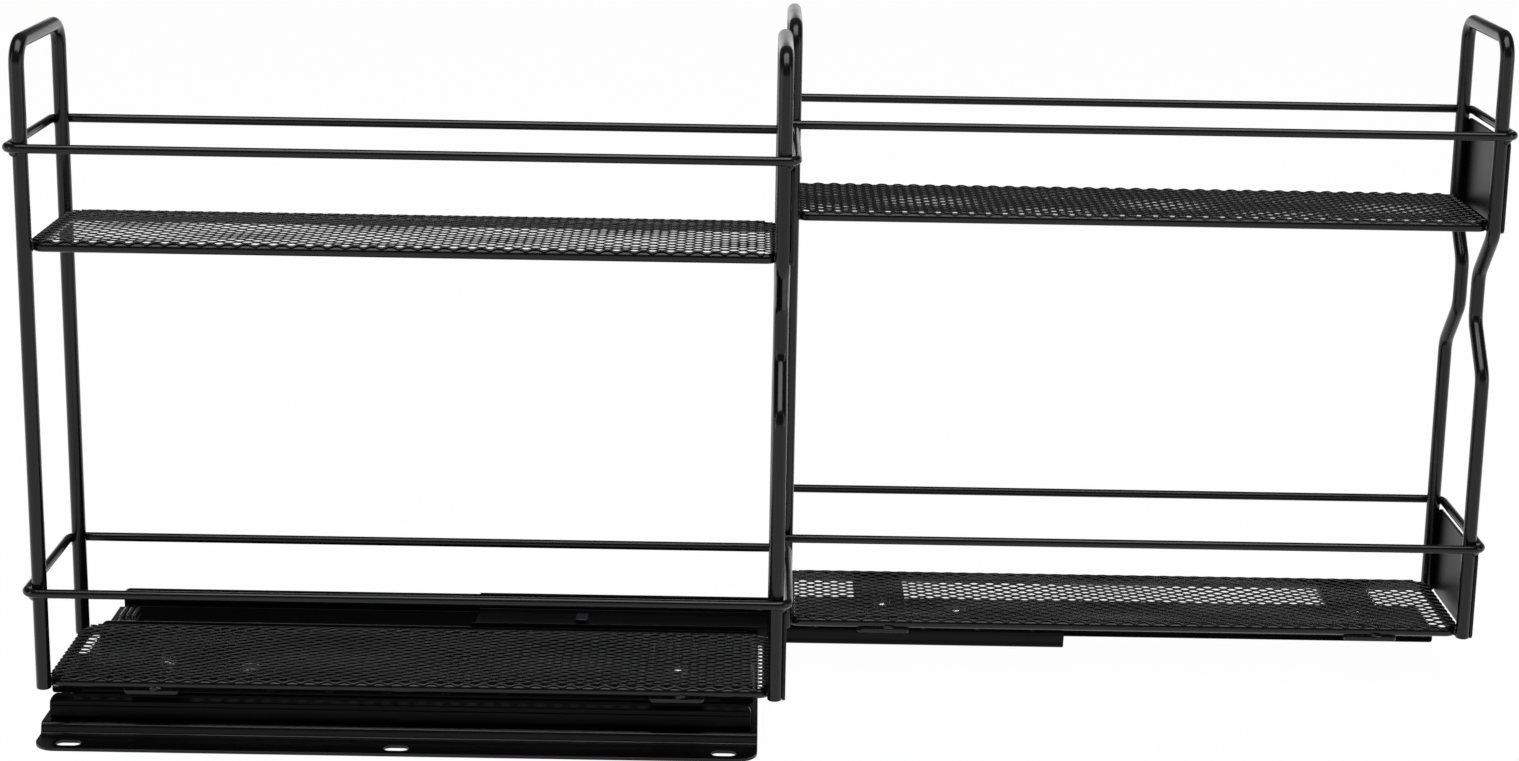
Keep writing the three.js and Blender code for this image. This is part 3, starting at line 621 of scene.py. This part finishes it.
def makeFlats(lane):
    for tier in tiers:
        node = f"{lane}_{tier}_end_plate"
        low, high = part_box(node)
        low = low + Vector((-flats["plateSeat"], flats["plateInset"], 0))
        high = high + Vector((0, -flats["plateInset"], flats["plateRise"]))
        size = high - low
        bm = quarterTurned(roundBlank(size.z, size.y, flats["plateCorner"], size.x), "Y")
        finishPiece(moved(bm, (low.x, (low.y + high.y) / 2, (low.z + high.z) / 2)), node + "_sheet", lane + "_rack",
                    "powder_coat", [node], 0, (), flats["edge"], mattCoat)
    for end in ends:
        node = f"{lane}_{end}_crossbar"
        low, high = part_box(node)
        size = high - low
        bm = roundBlank(size.x, size.y, flats["barCorner"], size.z)
        finishPiece(moved(bm, ((low.x + high.x) / 2, (low.y + high.y) / 2, low.z)), node + "_bar", lane + "_rack",
                    "powder_coat", [node], 0, (), flats["edge"])


# weld beads: one uneven lump, with half sizes in mm, where each wire crosses another
weld = dict(rail=(1.5, 1.5, 1.7), rim=(1.3, 1.3, 1.9), bar=(2.6, 1.3, 1.2), rough=0.28, grain=0.9 * mm, fineness=2,
            railOut=1.9 * mm, railSide=2.2 * mm, railDrop=1.6 * mm, rimProud=0.15 * mm,
            barAlong=2 * mm, barInset=0.7 * mm, barRise=0.4 * mm)


def makeWelds(lane):
    spots = []
    rimInset = ringWire["rim"]["corner"] + ringWire["rim"]["wire"] / 2
    for end, outward in (("rear", -1), ("front", 1)):
        low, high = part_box(f"{lane}_{end}_hoop")
        x = (low.x + high.x) / 2
        bar = middleOf(f"{lane}_{end}_crossbar")
        for side in (-1, 1):
            y = (low.y + high.y) / 2 + side * ((high.y - low.y) - hoop["rod"]) / 2
            for tier in tiers:
                railZ = middleOf(f"{lane}_{tier}_rail").z
                spots.append(((x + outward * weld["railOut"], y + side * weld["railSide"], railZ - weld["railDrop"]),
                              "rail"))
                rimLow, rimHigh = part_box(f"{lane}_{tier}_rim")
                rim, rimHalf = (rimLow + rimHigh) / 2, (rimHigh - rimLow) / 2
                heart = Vector((rim.x + outward * (rimHalf.x - rimInset), rim.y + side * (rimHalf.y - rimInset),
                                rim.z))
                away = (Vector((x, y, rim.z)) - heart).normalized()
                spots.append((heart + away * (rimInset + weld["rimProud"]), "rim"))
            rimLow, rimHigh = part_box(f"{lane}_lower_rim")
            edgeY = rimLow.y + weld["barInset"] if side < 0 else rimHigh.y - weld["barInset"]
            spots.append(((bar.x + weld["barAlong"], edgeY, rimLow.z + weld["barRise"]), "bar"))
    bm = bmesh.new()
    for place, kind in spots:
        shape = Matrix.Translation(place) @ Matrix.Diagonal((*weld[kind], 1))
        lump = bmesh.ops.create_icosphere(bm, subdivisions=weld["fineness"], radius=1 * mm, matrix=shape)["verts"]
        for vert in lump:
            x, y, z = (c / weld["grain"] for c in vert.co)
            swell = 1 + weld["rough"] * math.sin(x + 2 * z) * math.cos(y)
            vert.co = Vector(place) + (vert.co - Vector(place)) * swell
    finishPiece(bm, lane + "_weld_beads", lane + "_rack", "powder_coat")


makeBase()
print("base made")
for lane in lanes:
    makeSlide(lane)
    makeCages(lane)
    makeBumper(lane)
    makeFasteners(lane)
print("slides made")
for lane in lanes:
    makeHoops(lane)
    makeRings(lane)
    makeFlats(lane)
    makeWelds(lane)
    for tier in tiers:
        makeShelf(lane, tier)
print("racks made")

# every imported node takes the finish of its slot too
for part in frame["record"]["subparts"]:
    mesh = frame["nodes"][part["node"]].data
    mesh.materials.clear()
    mesh.materials.append(finishes[part["material_slot"]])

# camera: fitted to the posts, rails and base edges of the photograph
view = dict(place=(0.124756, -0.973849, 0.376944), pitch=0.241685, yaw=-0.002327, roll=-0.017112,
            focalPixels=2898.118, imageWidth=1519, sensor=36, clipStart=10 * mm)


def makeCamera():
    data = bpy.data.cameras.new("camera")
    data.sensor_width = view["sensor"]
    data.lens = view["focalPixels"] * view["sensor"] / view["imageWidth"]
    data.clip_start = view["clipStart"]
    camera = bpy.data.objects.new("camera", data)
    bpy.context.scene.collection.objects.link(camera)
    turn = (Matrix.Rotation(view["yaw"], 3, "Z") @ Matrix.Rotation(-view["pitch"], 3, "X")
            @ Matrix.Rotation(view["roll"], 3, "Y"))
    axes = Matrix((turn.col[0], turn.col[2], -turn.col[1])).transposed()
    camera.matrix_world = Matrix.Translation(view["place"]) @ axes.to_4x4()
    bpy.context.scene.camera = camera


# studio: a white sweep, dim above a pale horizon, with a broad panel overhead and a narrow one at each side
studio = dict(floorSize=14.0, ambient=0.1, horizon=(0.1, 0.2), paper="#f2f2f2", glow=0.98, aim=(0.13, 0.07, 0.12),
              panels=dict(top=dict(size=(1.25, 0.9), place=(0.15, -0.2, 1.35), power=16.4),
                          left=dict(size=(0.2, 0.9), place=(-1.1, -0.5, 0.45), power=1.6),
                          right=dict(size=(0.2, 0.9), place=(1.5, -0.4, 0.5), power=1.6)))


# the sky is white near the horizon and dim above and below it
def makeSky():
    world = bpy.data.worlds.new("studioWorld")
    bpy.context.scene.world = world
    world.use_nodes = True
    tree = world.node_tree
    tree.nodes.clear()
    ways = addNode(tree, "ShaderNodeTexCoord")
    split = addNode(tree, "ShaderNodeSeparateXYZ", links={0: ways.outputs["Generated"]})
    rise = addNode(tree, "ShaderNodeMath", {"operation": "ABSOLUTE"}, {0: split.outputs["Z"]})
    strength = addNode(tree, "ShaderNodeMapRange",
                       {"interpolation_type": "SMOOTHSTEP", "From Min": studio["horizon"][0],
                        "From Max": studio["horizon"][1], "To Min": 1.0, "To Max": studio["ambient"]},
                       {"Value": rise.outputs[0]})
    sky = addNode(tree, "ShaderNodeBackground", {"Color": (1, 1, 1, 1)}, {"Strength": strength.outputs[0]})
    addNode(tree, "ShaderNodeOutputWorld", links={"Surface": sky.outputs[0]})


# matt white paper that the camera, gloss and glass see as nearly pure white, and that keeps a faint shadow
def makeFloor():
    bm = bmesh.new()
    bmesh.ops.create_grid(bm, x_segments=2, y_segments=2, size=studio["floorSize"] / 2)
    floor = newObject(bm, "floor")
    material, tree = startMaterial("whiteSweep")[:2]
    path = addNode(tree, "ShaderNodeLightPath")
    seen = path.outputs["Is Camera Ray"]
    for ray in ("Is Glossy Ray", "Is Transmission Ray"):
        seen = addNode(tree, "ShaderNodeMath", {"operation": "MAXIMUM"}, {0: seen, 1: path.outputs[ray]}).outputs[0]
    share = addNode(tree, "ShaderNodeMath", {"operation": "MULTIPLY", 1: studio["glow"]}, {0: seen})
    paper = addNode(tree, "ShaderNodeBsdfDiffuse", {"Color": linear(studio["paper"])})
    glow = addNode(tree, "ShaderNodeEmission", {"Color": (1, 1, 1, 1), "Strength": 1.0})
    mix = addNode(tree, "ShaderNodeMixShader", links={0: share.outputs[0], 1: paper.outputs[0], 2: glow.outputs[0]})
    addNode(tree, "ShaderNodeOutputMaterial", links={"Surface": mix.outputs[0]})
    floor.data.materials.append(material)


def makePanels():
    for name, panel in studio["panels"].items():
        data = bpy.data.lights.new(name + "Panel", "AREA")
        data.shape = "RECTANGLE"
        data.size, data.size_y = panel["size"]
        data.energy = panel["power"]
        lamp = bpy.data.objects.new(name + "Panel", data)
        bpy.context.scene.collection.objects.link(lamp)
        lamp.location = panel["place"]
        lamp.rotation_euler = (Vector(studio["aim"]) - Vector(panel["place"])).to_track_quat("-Z", "Y").to_euler()


makeCamera()
makeSky()
makeFloor()
makePanels()
bpy.context.scene.view_settings.view_transform = "Standard"
print("camera and studio set")
